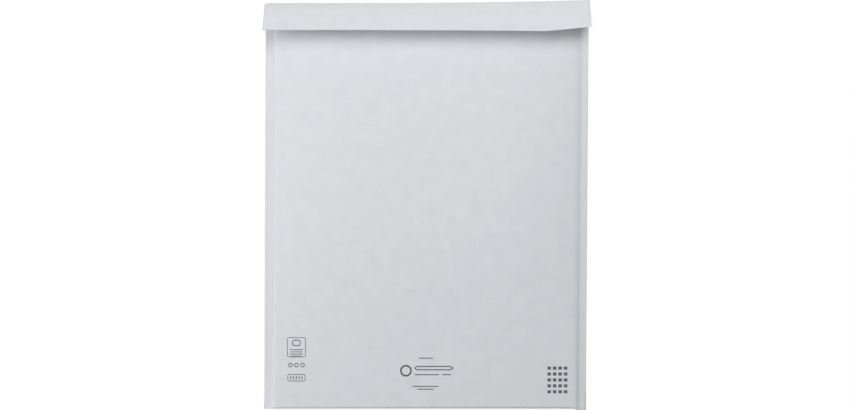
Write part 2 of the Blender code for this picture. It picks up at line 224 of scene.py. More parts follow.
@dataclass
class FoldedSheet:
    """The paper's outer face as a grid of points, rows along the sheet and columns across it."""

    wall: Wall = field(default_factory=Wall)
    ripples: Ripples = field(default_factory=Ripples)

    # Outline of the body, seen from the front
    length: float = 0.4543
    mouth_width: float = 0.3712
    foot_width: float = 0.3696
    mouth_offset: float = 0.0001  # middle of the width from the flap's middle
    foot_offset: float = -0.0024
    left_seam: float = 0.0088
    right_seam: float = 0.0090
    right_seam_drop: float = 0.0017
    drop_reach: float = 0.0065
    left_foot_flare: float = 0.0009
    flare_reach: float = 0.0120

    # How the panels swell between the seams
    left_shoulder_at_foot: float = 0.0048  # the front rises steeply from a seam over this width
    left_shoulder: float = 0.0068  # at the mouth
    right_shoulder: float = 0.0058  # at the foot
    right_shoulder_at_mouth: float = 0.0095
    left_seam_lift: float = 0.0009  # the seams stand higher than half the bag's edge
    right_seam_lift: float = 0.0013
    back_shoulder: float = 0.0080
    shoulder_power: float = 3.0
    crown_start: float = 0.45  # the crown begins this far up the shoulder's width
    crown_reach: float = 0.1000
    crown_power: float = 2.5
    rise_reach: float = 0.2200
    seam_droop: float = 0.0002
    foot_round: float = 0.92

    # Crease and flap
    mouth_to_crease: float = 0.0118
    crease_radius: float = 0.0065
    crease_rise: float = 0.0035
    crease_turn: float = -0.0700
    crease_power: float = 2.0
    crease_end_rise: float = 0.0010
    crease_end_reach: float = 0.0600
    crease_corner: float = 0.0013  # the crease's left end is rubbed round
    crease_corner_reach: float = 0.0060
    flap_width: float = 0.3727
    flap_length: float = 0.0404
    lift_left: float = 28.0
    lift_right: float = 25.7
    lift_power: float = 4.0
    corner_cut: float = 0.0040  # the free edge is cut back towards its right corner
    corner_lift: float = 6.0  # which springs up more than the rest
    corner_reach: float = 0.0550
    corner_power: float = 1.25
    flap_curl: float = 5.0
    roll: float = 25.0  # the crease rolls out into the flap, less towards its right end
    roll_reach: float = 0.0100
    roll_power: float = 3.0

    # Pressed and worn details that only the fine surface shows
    fillet: float = 0.00060  # the right seam's inner line is drawn out soft
    fillet_reach: float = 0.0020
    end_press: float = 0.0016  # the sheet's ends are pressed flat this far in
    end_press_depth: float = 0.00010
    relief_reach: float = 0.0180  # the panels' relief grows from nothing over this width
    back_relief: float = 0.5  # share of the front panel's relief
    flap_relief: float = 0.4
    puckers: tuple[Pucker, ...] = (
        Pucker(0.1630, -0.0925, 22.0, 0.0120, 0.0022, 0.00017),
        Pucker(0.1560, -0.0560, 24.0, 0.0150, 0.0034, 0.00013),
        Pucker(0.1540, -0.0290, 20.0, 0.0170, 0.0036, -0.00012),
        Pucker(0.1480, -0.0120, 16.0, 0.0150, 0.0030, 0.00010),
        Pucker(-0.1560, 0.0270, 32.0, 0.0190, 0.0040, 0.00013),
        Pucker(-0.1500, 0.0080, 30.0, 0.0220, 0.0044, -0.00012),
        Pucker(-0.1600, -0.0210, 26.0, 0.0140, 0.0032, 0.00010),
        Pucker(-0.1580, -0.0940, 28.0, 0.0120, 0.0034, -0.00010),
    )

    # Rows and columns of the grid
    pull: float = 0.0030  # widest step between rows or columns of the front panel
    edge_columns: tuple = (0.0, 0.0007, 0.0015, 0.0025, 0.0050)  # in from the edge
    seam_columns: tuple = (  # in from the seam's inner line
        -0.0010, -0.0002, 0.0, 0.0003, 0.0008, 0.0015, 0.0024, 0.0035, 0.0048, 0.0062, 0.0085, 0.0110,
    )
    foot_rows: tuple = (0.0, 0.0006, 0.0014, 0.0026, 0.0044, 0.0066)  # up from the foot fold
    lip_rows: tuple = (0.0020, 0.0007, 0.0)  # down from the mouth
    flap_rows: tuple = (0.0, 0.0012)  # along the flap from the crease
    flap_step: float = 0.0026
    flap_edge_row: float = 0.0008  # back from the free edge
    fold_steps: int = 9  # a quarter turn of the foot fold
    crease_steps: int = 24
    calm_rows: float = 6.0  # rows over which the front's relief grows from nothing
    plain_rows: int = 3  # rows without relief at the ends of the back

    def __post_init__(self) -> None:
        """Works out the grid, its normals and its flat coordinates."""
        self.side, self.inset = self.lines_across()
        self.seam_width = self.by_side(self.left_seam, self.right_seam)
        self.inward = self.inset - self.seam_width
        self.shoulder = self.by_side(self.left_shoulder, self.right_shoulder)
        self.flat_x = self.by_side(self.inset, self.foot_width - self.inset)
        self.seam_height = self.wall.edge_height / 2
        self.tip_depth = self.seam_height * self.foot_round
        self.panel_length = self.length - self.tip_depth

        rows, self.ups = self.body_rows(Face.FRONT)
        self.tip = len(rows) - 1
        back, back_ups = self.body_rows(Face.BACK)
        rows += back[-2::-1]
        self.ups += back_ups[-2::-1]
        self.mouth = len(rows) - 1
        rows += [self.lip_row(share) for share in (0.5, 1.0)]
        rows += [self.crease_row(k / self.crease_steps) for k in range(1, self.crease_steps + 1)]
        self.flap = len(rows) - 1
        end = self.flap_length - self.flap_edge_row
        self.flap_stations = graded(list(self.flap_rows), self.flap_step, end) + [self.flap_length]
        rows += [self.flap_row(along) for along in self.flap_stations[1:]]
        smooth = self.centred(np.array(rows))
        self.points = smooth + self.normals_of(smooth) * self.relief(smooth)[..., None]
        self.normals = self.normals_of(self.points)
        self.flat_y = distances_along(self.points[:, len(self.inset) // 2])

    def by_side(self, left: float | np.ndarray, right: float | np.ndarray) -> np.ndarray:
        """One value for each column, from its side's."""
        return np.where(self.side < 0, left, right)

    def lines_across(self) -> tuple[np.ndarray, np.ndarray]:
        """Side of each column, and its distance in from that side's edge."""
        sides, insets = [], []
        half = self.foot_width / 2 - self.pull / 2
        for side, seam in ((-1, self.left_seam), (1, self.right_seam)):
            first = list(self.edge_columns) + [seam + at for at in self.seam_columns]
            line = graded(first, self.pull, half)
            insets += line if side < 0 else line[::-1]
            sides += [side] * len(line)
        return np.array(sides), np.array(insets)

    def edge(self, y: np.ndarray) -> np.ndarray:
        """X of the outer edge of each column's side at y."""
        share = y / self.length
        middle = self.foot_offset + (self.mouth_offset - self.foot_offset) * share
        width = self.foot_width + (self.mouth_width - self.foot_width) * share
        flare = self.left_foot_flare * np.maximum(0.0, 1.0 - y / self.flare_reach) ** 2
        return middle + self.side * (width / 2 + self.by_side(flare, 0.0))

    def x_at(self, y: np.ndarray) -> np.ndarray:
        """X of each column on the body at y."""
        return self.edge(y) - self.side * self.inset

    def swell(self, width: float | np.ndarray) -> np.ndarray:
        """0 on a seam, rising to 1 at a width into the panel."""
        return ease(self.inward / width, self.shoulder_power)

    def shoulder_at(self, up: np.ndarray | float) -> np.ndarray:
        """Width of the front panel's shoulders, a distance up from the foot fold."""
        share = up / self.panel_length
        at_foot = self.by_side(self.left_shoulder_at_foot, self.right_shoulder)
        at_mouth = self.by_side(self.left_shoulder, self.right_shoulder_at_mouth)
        return at_foot + (at_mouth - at_foot) * share

    def foot(self) -> np.ndarray:
        """Y of the tip of the foot fold, or of a seam's lower end."""
        drop = -self.right_seam_drop * (1.0 - ease(self.inward / self.drop_reach))
        return self.by_side(0.0, drop)

    def fold_depth(self) -> np.ndarray:
        """How far the foot fold's round runs up the panel."""
        bonded = self.wall.seam / 2
        return bonded + (self.tip_depth - bonded) * self.swell(self.shoulder)

    def middle_height(self) -> np.ndarray:
        """Height of the tip of the foot fold and of the middle of a seam."""
        lift = self.by_side(self.left_seam_lift, self.right_seam_lift)
        droop = self.seam_droop * np.maximum(0.0, -self.inward / self.seam_width)
        return self.seam_height + lift * (1.0 - self.swell(self.crown_reach)) - droop

    def crown(self, up: np.ndarray) -> np.ndarray:
        """0 along the seams and the foot fold, 1 where the panel is fully swollen."""
        start = self.crown_start * self.shoulder_at(up)
        across = ease((self.inward - start) / self.crown_reach, self.crown_power)
        return across * swing(up / self.rise_reach)

    def level(self, face: Face, up: np.ndarray) -> np.ndarray:
        """Height of one panel's outer face, a distance up from the foot fold.

        Args:
            face: the panel.
            up: how far up from the foot fold.

        Returns:
            The height on each column.
        """
        half = self.wall.seam / 2
        if face is Face.BACK:
            return (self.middle_height() - half) * (1.0 - self.swell(self.back_shoulder))
        low = self.middle_height() + half
        swell = self.swell(self.shoulder_at(up))
        swollen = (self.wall.crown_height - self.wall.edge_height) * self.crown(up)
        return low + (self.wall.edge_height - low) * swell + swollen

    def body_rows(self, face: Face) -> tuple[list[np.ndarray], list[np.ndarray]]:
        """Rows of points on one panel.

        Args:
            face: the panel.

        Returns:
            The rows from the mouth down to the tip of the foot fold, and how far up the panel each
            of them lies.
        """
        step = self.pull if face is Face.FRONT else 2 * self.pull
        places = graded(list(self.foot_rows), step, self.panel_length - self.lip_rows[0])
        places += [self.panel_length - at for at in self.lip_rows[1:]]
        quarter, turns = math.pi / 2, self.fold_steps
        stations = [(at / self.panel_length, quarter) for at in places[::-1]]
        stations += [(0.0, quarter * k / turns) for k in range(turns - 1, -1, -1)]
        rows, ups = [], []
        foot, depth, middle = self.foot(), self.fold_depth(), self.middle_height()
        for share, turn in stations:
            up = (self.length - foot - depth) * share
            y = foot + depth * (1.0 - math.cos(turn)) + up
            z = middle + (self.level(face, up) - middle) * math.sin(turn)
            rows.append(np.stack([self.x_at(y), y, z], axis=1))
            ups.append(up)
        return rows, ups

    def flap_x(self) -> np.ndarray:
        """X of each column on the flap, which is cut a little wider than the bag draws in to."""
        at_mouth = self.x_at(np.full(self.inset.shape, self.length))
        return (at_mouth - self.mouth_offset) * self.flap_width / self.mouth_width

    def crease_y(self) -> np.ndarray:
        """The furthest Y of the crease on each column."""
        share = (self.flap_x() - self.crease_turn) / (self.flap_width / 2 - self.crease_turn)
        rise = self.crease_rise * np.maximum(0.0, share) ** self.crease_power
        rubbed = np.maximum(0.0, 1.0 - self.inset / self.crease_corner_reach) ** 2
        return self.length + self.mouth_to_crease + rise - self.by_side(self.crease_corner * rubbed, 0.0)

    def crease_base(self) -> np.ndarray:
        """Height of the sheet's outer face where the crease begins."""
        return self.crease_end_rise * (1.0 - ease(self.inset / self.crease_end_reach))

    def corner(self) -> np.ndarray:
        """0 on most of the flap, rising to 1 at its right corner."""
        from_corner = self.flap_width / 2 - self.flap_x()
        return np.maximum(0.0, 1.0 - from_corner / self.corner_reach) ** self.corner_power

    def lift(self) -> np.ndarray:
        """Slope of the flap where it leaves the crease, in radians."""
        share = np.maximum(0.0, self.flap_x() / self.flap_width + 0.5)
        slope = self.lift_left + (self.lift_right - self.lift_left) * share**self.lift_power
        return np.radians(slope + self.corner_lift * self.corner())

    def rolled(self) -> np.ndarray:
        """How much steeper the flap starts than it runs on, in radians."""
        share = np.clip(self.flap_x() / self.flap_width + 0.5, 0.0, 1.0)
        return math.radians(self.roll) * (1.0 - share**self.roll_power)

    def cut(self) -> np.ndarray:
        """Length of the flap on each column, as a share of its full length."""
        return 1.0 - self.corner_cut / self.flap_length * self.corner()

    def lip_row(self, share: float) -> np.ndarray:
        """The back panel between the mouth, share 0, and the crease, share 1."""
        at_mouth = self.x_at(np.full(self.inset.shape, self.length))
        low = self.level(Face.BACK, np.zeros(self.inset.shape))
        x = at_mouth + (self.flap_x() - at_mouth) * share
        y = self.length + (self.crease_y() - self.crease_radius - self.length) * share
        return np.stack([x, y, low + (self.crease_base() - low) * share], axis=1)

    def crease_row(self, share: float) -> np.ndarray:
        """The crease, from the back panel, share 0, to the flap, share 1."""
        turn = (math.pi - self.lift() - self.rolled()) * share
        y = self.crease_y() - self.crease_radius + self.crease_radius * np.sin(turn)
        z = self.crease_base() + self.crease_radius * (1.0 - np.cos(turn))
        return np.stack([self.flap_x(), y, z], axis=1)

    def flap_row(self, along: float) -> np.ndarray:
        """The flap, at a distance from the end of the crease.

        Args:
            along: the distance, for a column of full length.

        Returns:
            One point for each column.
        """
        x, y, z = self.crease_row(1.0).T
        along = along * self.cut()
        share = along / self.roll_reach
        slope = self.lift() + math.radians(self.flap_curl) * along / self.flap_length / 2
        slope += self.rolled() * (1.0 - np.exp(-share)) / share
        return np.stack([x, y - along * np.cos(slope), z + along * np.sin(slope)], axis=1)

    def centred(self, points: np.ndarray) -> np.ndarray:
        """The grid moved so that the origin is the middle of its overall size, at its base."""
        low, high = points.min(axis=(0, 1)), points.max(axis=(0, 1))
        return points - [(low[0] + high[0]) / 2, (low[1] + high[1]) / 2, low[2]]

    def normals_of(self, points: np.ndarray) -> np.ndarray:
        """The mean normal of the faces round each point of a grid.

        Args:
            points: the grid.

        Returns:
            The normals.
        """
        faces = np.cross(points[1:, 1:] - points[:-1, :-1], points[:-1, 1:] - points[1:, :-1])
        faces /= np.linalg.norm(faces, axis=2, keepdims=True)
        total = np.zeros_like(points)
        for rows in (slice(0, -1), slice(1, None)):
            for cols in (slice(0, -1), slice(1, None)):
                total[rows, cols] += faces
        return total / np.linalg.norm(total, axis=2, keepdims=True)

    def relief(self, points: np.ndarray) -> np.ndarray:
        """How far each point stands off the smooth form, outwards.

        Args:
            points: the grid of the smooth form.

        Returns:
            The distances.
        """
        x, y = points[..., 0], points[..., 1]
        number = np.arange(len(points))[:, None]
        front = np.clip((self.tip - self.fold_steps - number) / self.calm_rows, 0.0, 1.0)
        panel = ease(self.inward / self.relief_reach)
        waves = self.ripples.relief(x, y)
        ridges = sum(pucker.relief(x, y) for pucker in self.puckers)
        back = number > self.tip + self.fold_steps + self.plain_rows
        back = back & (number < self.mouth - self.plain_rows)
        height = front * panel * (waves + ridges)
        height += back * panel * (waves - 2 * self.ripples.height) * self.back_relief
        height += (number > self.flap) * waves * self.flap_relief
        beside = np.exp(np.minimum(0.0, self.inward) / self.fillet_reach)
        soft = beside * (1.0 - self.swell(self.shoulder))
        height += (number <= self.tip) * (self.side > 0) * self.fillet * soft
        pressed = fade(self.inset, self.end_press)
        return height - (number > self.flap) * self.end_press_depth * pressed

    def sample(self, row: np.ndarray, col: np.ndarray, depth: np.ndarray) -> np.ndarray:
        """Points under or over the outer face.

        Args:
            row: row numbers of the points, which may lie between two rows.
            col: column numbers of the points.
            depth: how deep under the outer face each one lies; negative is over it.

        Returns:
            The points, one for each number.
        """
        row, col = np.asarray(row, float), np.asarray(col, float)
        return between(self.points, row, col) - between(self.normals, row, col) * depth[..., None]

    def col_at(self, flat_x: np.ndarray) -> np.ndarray:
        """Column numbers at distances across the flat sheet, from its left edge."""
        return np.interp(flat_x, self.flat_x, np.arange(len(self.flat_x)))

    def flap_row_at(self, along: np.ndarray) -> np.ndarray:
        """Row numbers at distances along the flap, from the end of the crease."""
        return self.flap + np.interp(along, self.flap_stations, np.arange(len(self.flap_stations)))

    def front_place(self, x: np.ndarray, y: np.ndarray) -> tuple[np.ndarray, np.ndarray]:
        """Row and column numbers of points of the front panel.

        Args:
            x: X of the points.
            y: Y of the points.

        Returns:
            The row numbers and the column numbers.
        """
        down = self.points[: self.tip, len(self.inset) // 2, 1]
        row = np.interp(-np.asarray(y), -down, np.arange(self.tip))
        col = np.empty_like(row)
        for k, (at, across) in enumerate(zip(row, x)):
            r = min(int(at), self.tip - 2)
            line = self.points[r, :, 0] * (1 - at + r) + self.points[r + 1, :, 0] * (at - r)
            col[k] = np.interp(across, line, np.arange(len(line)))
        return row, col


class Mesh:
    """Collects vertices and faces, and turns them into a named object."""

    def __init__(self) -> None:
        """Starts an empty mesh."""
        self.bm = bmesh.new()

    def points(self, grid: np.ndarray) -> list[list[bmesh.types.BMVert]]:
        """A grid of vertices at a grid of points."""
        return [[self.bm.verts.new(p) for p in row] for row in grid]

    def grid(self, grid: list) -> None:
        """The faces of a grid of vertices."""
        for near, far in zip(grid[:-1], grid[1:]):
            self.strip(near, far)

    def strip(self, near: list, far: list) -> None:
        """The faces between two equal lines of vertices."""
        for k in range(len(near) - 1):
            self.bm.faces.new((near[k], near[k + 1], far[k + 1], far[k]))

    def loop(self, near: list, far: list) -> None:
        """The faces between two equal closed lines of vertices."""
        self.strip(near + near[:1], far + far[:1])

    def plate(self, near: np.ndarray, far: np.ndarray) -> None:
        """A closed plate between two equal grids of points."""
        near, far = self.points(near), self.points(far)
        self.grid(near)
        self.grid(far)
        for edge in (0, -1):
            self.strip(near[edge], far[edge])
            self.strip([row[edge] for row in near], [row[edge] for row in far])

    def finish(self, name: str, material: bpy.types.Material) -> Thing:
        """Turns the mesh into an object with its faces pointing out.

        Args:
            name: the object's name.
            material: its finish.

        Returns:
            The object, at the origin.
        """
        bmesh.ops.recalc_face_normals(self.bm, faces=self.bm.faces)
        mesh = bpy.data.meshes.new(name)
        self.bm.to_mesh(mesh)
        self.bm.free()
        mesh.materials.append(material)
        mesh.shade_smooth()
        mesh.set_sharp_from_angle(angle=math.radians(SHARP_ANGLE))
        return placed(name, mesh)


class Graph:
    """Adds nodes to a node tree and joins them."""

    def __init__(self, tree: bpy.types.NodeTree) -> None:
        """Works on one node tree."""
        self.tree = tree

    def node(self, kind: str, inputs: dict | None = None, **settings) -> bpy.types.Node:
        """Adds one node.

        Args:
            kind: the node's type.
            inputs: values or sockets for its inputs, by name or number.
            settings: its other settings.

        Returns:
            The node.
        """
        made = self.tree.nodes.new(kind)
        for name, value in settings.items():
            setattr(made, name, value)
        for name, value in (inputs or {}).items():
            self.put(made.inputs[name], value)
        return made

    def put(self, socket: Socket, value: object) -> None:
        """Gives an input a value, or joins it to another node's output."""
        if isinstance(value, Socket):
            self.tree.links.new(value, socket)
        else:
            socket.default_value = value

    def math(self, operation: str, *values: object) -> Socket:
        """The result of a Math node on one, two or three values or sockets."""
        made = self.node("ShaderNodeMath", operation=operation)
        for socket, value in zip(made.inputs, values):
            self.put(socket, value)
        return made.outputs[0]

    def position(self) -> bpy.types.NodeOutputs:
        """X, Y and Z of each point, in a geometry tree."""
        place = self.node("GeometryNodeInputPosition").outputs[0]
        return self.node("ShaderNodeSeparateXYZ", {0: place}).outputs

    def vector(self, *sides: object) -> Socket:
        """A vector from its X, Y and Z."""
        return self.node("ShaderNodeCombineXYZ", dict(enumerate(sides))).outputs[0]

    def times(self, first: object, second: object) -> Socket:
        """A product."""
        return self.math("MULTIPLY", first, second)

    def noise(self, place: object, scale: float, detail: float) -> Socket:
        """A noise pattern's value, 0 to 1.

        Args:
            place: where the pattern is read.
            scale: features in a metre.
            detail: how many finer layers it has.

        Returns:
            The pattern's value.
        """
        made = self.node("ShaderNodeTexNoise", {"Vector": place, "Scale": scale, "Detail": detail})
        return made.outputs["Fac"]

    def streaks(self, place: object, scale: tuple, turn: float, detail: float) -> Socket:
        """A noise pattern, turned by some degrees and then scaled unevenly."""
        turned = {"Vector": place, "Rotation": (0.0, 0.0, math.radians(turn))}
        turned = self.node("ShaderNodeMapping", turned).outputs[0]
        scaled = self.node("ShaderNodeMapping", {"Vector": turned, "Scale": scale}).outputs[0]
        return self.noise(scaled, 1.0, detail)

    def mix(self, share: object, first: object, second: object) -> Socket:
        """A colour between two, by a share."""
        made = self.node("ShaderNodeMix", {0: share, 6: first, 7: second}, data_type="RGBA")
        return made.outputs[2]

    def spread(self, value: object, low: float, high: float) -> Socket:
        """A pattern's value from 0 to 1, taken to a range from low to high."""
        made = self.node("ShaderNodeMapRange", {"Value": value, "To Min": low, "To Max": high})
        return made.outputs[0]


@dataclass(frozen=True)
class Finish:
    """What every finish has."""

    roughness: tuple[float, float]  # where its pattern is lowest, and where it is highest
    relief: tuple[float, float]  # depth and strength of its bump


class Surface(Graph):
    """A new material and its one shader."""

    def __init__(self, name: str) -> None:
        """Starts the material."""
        self.material = bpy.data.materials.new(name)
        self.material.use_nodes = True
        super().__init__(self.material.node_tree)
        self.shader = self.tree.nodes["Principled BSDF"].inputs
        self.place = self.node("ShaderNodeTexCoord").outputs["Object"]

    def marked(self, name: str) -> Socket:
        """The value of an attribute of the mesh."""
        return self.node("ShaderNodeAttribute", attribute_name=name).outputs["Fac"]

    def finished(self, finish: Finish, colour: object, gloss: object, height: object) -> bpy.types.Material:
        """Joins the shader up.

        Args:
            finish: the finish that the material is for.
            colour: the base colour.
            gloss: a pattern for the roughness.
            height: a pattern for the fine relief.

        Returns:
            The material.
        """
        depth, strength = finish.relief
        bump = self.node("ShaderNodeBump", {"Height": height, "Distance": depth, "Strength": strength})
        self.put(self.shader["Base Color"], colour)
        self.put(self.shader["Roughness"], self.spread(gloss, *finish.roughness))
        self.put(self.shader["Normal"], bump.outputs[0])
        return self.material


@dataclass(frozen=True)
class PaperFinish(Finish):
    """White uncoated paper: short dark fibres, a cloudy look-through and a soft tooth."""

    roughness: tuple = (0.56, 0.72)
    relief: tuple = (0.000030, 1.0)
    light: tuple = (0.767, 0.784, 0.816, 1.0)
    cloud: tuple = (0.716, 0.732, 0.764, 1.0)
    fibre: tuple = (0.640, 0.650, 0.675, 1.0)
    # tone of the edge wear, and of the painted shade at the edges, the foot fold, the crease and the left
    # seam's line
    worn_and_shaded: tuple = (0.560, 0.565, 0.580, 1.0)
    bared_and_shaded: tuple = (0.330, 0.310, 0.300, 1.0)  # the film's edge where the seam has opened, darkened with painted shade between the layers
    inside: tuple = (0.700, 0.704, 0.712, 1.0)
    warm: tuple = (1.009, 0.998, 1.001, 1.0)  # faint drift of hue, towards the flap's left end
    cool: tuple = (0.987, 1.004, 0.999, 1.0)  # and towards the foot's right end
    drift: tuple = (0.00, 0.17)  # from where to where along the diagonal it changes
    clouds: tuple = (60.0, 5.0)  # features in a metre, and finer layers
    grain: tuple = (340.0, 4.0)
    cloudiness: float = 0.55  # the clouds' share of the formation, beside the grain's
    formation: tuple = (-0.9, 1.9)  # how strongly the formation shows
    fibres: tuple = (((4200.0, 520.0, 1.0), 8.0), ((620.0, 3600.0, 1.0), -17.0))  # scale and turn
    fibre_detail: float = 2.0
    fibre_level: float = 0.71  # of the fibre pattern, over which a dark fibre shows
    fibre_share: float = 0.35
    fibre_relief: float = 0.5  # beside the grain's
    rubbing: tuple = (0.7, 1.3)  # how unevenly the grain takes the wear and the painted shade
    shine: float = 0.35

    def hue(self, graph: Surface) -> Socket:
        """The sheet's faint drift of hue along its diagonal."""
        diagonal = {0: graph.place, 1: (1.0, -1.0, 0.0)}
        along = graph.node("ShaderNodeVectorMath", diagonal, operation="DOT_PRODUCT").outputs["Value"]
        reach = {"Value": along, "From Min": self.drift[0], "From Max": self.drift[1]}
        share = graph.node("ShaderNodeMapRange", reach, interpolation_type="SMOOTHSTEP").outputs[0]
        return graph.mix(share, self.warm, self.cool)

    def make(self) -> bpy.types.Material:
        """Builds the material."""
        graph = Surface("white_paper")
        flat = graph.node("ShaderNodeUVMap", uv_map="sheet").outputs[0]
        clouds, grain = graph.noise(flat, *self.clouds), graph.noise(flat, *self.grain)
        fibres = [graph.streaks(flat, *fibre, self.fibre_detail) for fibre in self.fibres]
        crossing = graph.math("MAXIMUM", *fibres)
        parts = graph.times(clouds, self.cloudiness), graph.times(grain, 1.0 - self.cloudiness)
        formation = graph.spread(graph.math("ADD", *parts), *self.formation)
        tone = graph.mix(formation, self.light, self.cloud)
        dark = graph.times(graph.math("GREATER_THAN", crossing, self.fibre_level), self.fibre_share)
        tinted = {0: 1.0, 6: graph.mix(dark, tone, self.fibre), 7: self.hue(graph)}
        tone = graph.node("ShaderNodeMix", tinted, data_type="RGBA", blend_type="MULTIPLY").outputs[2]
        # wear along the edges and painted shade, broken up by the grain
        wear_and_shade = graph.times(graph.marked("wear_and_painted_shade"), graph.spread(grain, *self.rubbing))
        for share, colour in (
            (graph.marked("inner_side"), self.inside),
            (wear_and_shade, self.worn_and_shaded),
            (graph.marked("bared_film_and_shade"), self.bared_and_shaded),
        ):
            tone = graph.mix(share, tone, colour)
        graph.shader["Specular IOR Level"].default_value = self.shine
        height = graph.math("ADD", graph.times(crossing, self.fibre_relief), grain)
        return graph.finished(self, tone, grain, height)


@dataclass(frozen=True)
class BubbleFilmFinish(Finish):
    """Clear soft film, drawn a little cloudy, with fine draw lines along the web."""

    roughness: tuple = (0.16, 0.34)
    relief: tuple = (0.000040, 0.8)
    colour: tuple = (0.800, 0.820, 0.840, 1.0)
    cloudy: tuple = (0.700, 0.720, 0.745, 1.0)
    haze: tuple = (150.0, 4.0)
    lines: tuple = ((900.0, 60.0, 300.0), 0.0, 2.0)
    alpha: float = 0.62
    refraction: float = 1.5

    def make(self) -> bpy.types.Material:
        """Builds the material."""
        graph = Surface("bubble_film")
        lines, haze = graph.streaks(graph.place, *self.lines), graph.noise(graph.place, *self.haze)
        graph.shader["Alpha"].default_value = self.alpha
        graph.shader["IOR"].default_value = self.refraction
        tone = graph.mix(haze, self.colour, self.cloudy)
        return graph.finished(self, tone, haze, graph.math("ADD", lines, haze))


@dataclass(frozen=True)
class GlueFinish(Finish):
    """Amber hot-melt glue, laid down in soft beads."""

    roughness: tuple = (0.22, 0.42)
    relief: tuple = (0.00012, 0.7)
    colour: tuple = (0.750, 0.660, 0.450, 1.0)
    thin: tuple = (0.800, 0.740, 0.580, 1.0)
    beads: tuple = ((40.0, 700.0, 700.0), 0.0, 3.0)

    def make(self) -> bpy.types.Material:
        """Builds the material."""
        graph = Surface("hot_melt_glue")
        beads = graph.streaks(graph.place, *self.beads)
        return graph.finished(self, graph.mix(beads, self.thin, self.colour), beads, beads)


@dataclass(frozen=True)
class LinerFinish(Finish):
    """Silicone-coated release film, smooth and a little glossy, with faint cross strain."""

    roughness: tuple = (0.24, 0.38)
    relief: tuple = (0.000060, 0.6)
    colour: tuple = (0.800, 0.820, 0.840, 1.0)
    strained: tuple = (0.745, 0.770, 0.800, 1.0)
    strain: tuple = ((260.0, 45.0, 45.0), 12.0, 3.0)
    mottle: tuple = (900.0, 2.0)
    mottle_relief: float = 0.1  # beside the strain's

    def make(self) -> bpy.types.Material:
        """Builds the material."""
        graph = Surface("liner_film")
        strain, mottle = graph.streaks(graph.place, *self.strain), graph.noise(graph.place, *self.mottle)
        height = graph.math("ADD", strain, graph.times(mottle, self.mottle_relief))
        return graph.finished(self, graph.mix(strain, self.colour, self.strained), mottle, height)


@dataclass(frozen=True)
class InkFinish(Finish):
    """Flexographic grey ink: slightly uneven, with pinholes where the paper's tooth shows."""

    roughness: tuple = (0.48, 0.66)
    relief: tuple = (0.000012, 0.8)
    colour: tuple = (0.050, 0.054, 0.064, 1.0)
    starved: tuple = (0.120, 0.126, 0.140, 1.0)
    lay: tuple = (1600.0, 3.0)
    unevenness: tuple = (-0.4, 1.2)
    pinholes: tuple = (3800.0, 1.0)
    pinhole_level: float = 0.66

    def make(self) -> bpy.types.Material:
        """Builds the material."""
        graph = Surface("printed_ink")
        lay, pinholes = (graph.noise(graph.place, *pattern) for pattern in (self.lay, self.pinholes))
        pinholes = graph.math("GREATER_THAN", pinholes, self.pinhole_level)
        share = graph.math("MAXIMUM", graph.spread(lay, *self.unevenness), pinholes)
        return graph.finished(self, graph.mix(share, self.colour, self.starved), lay, lay)


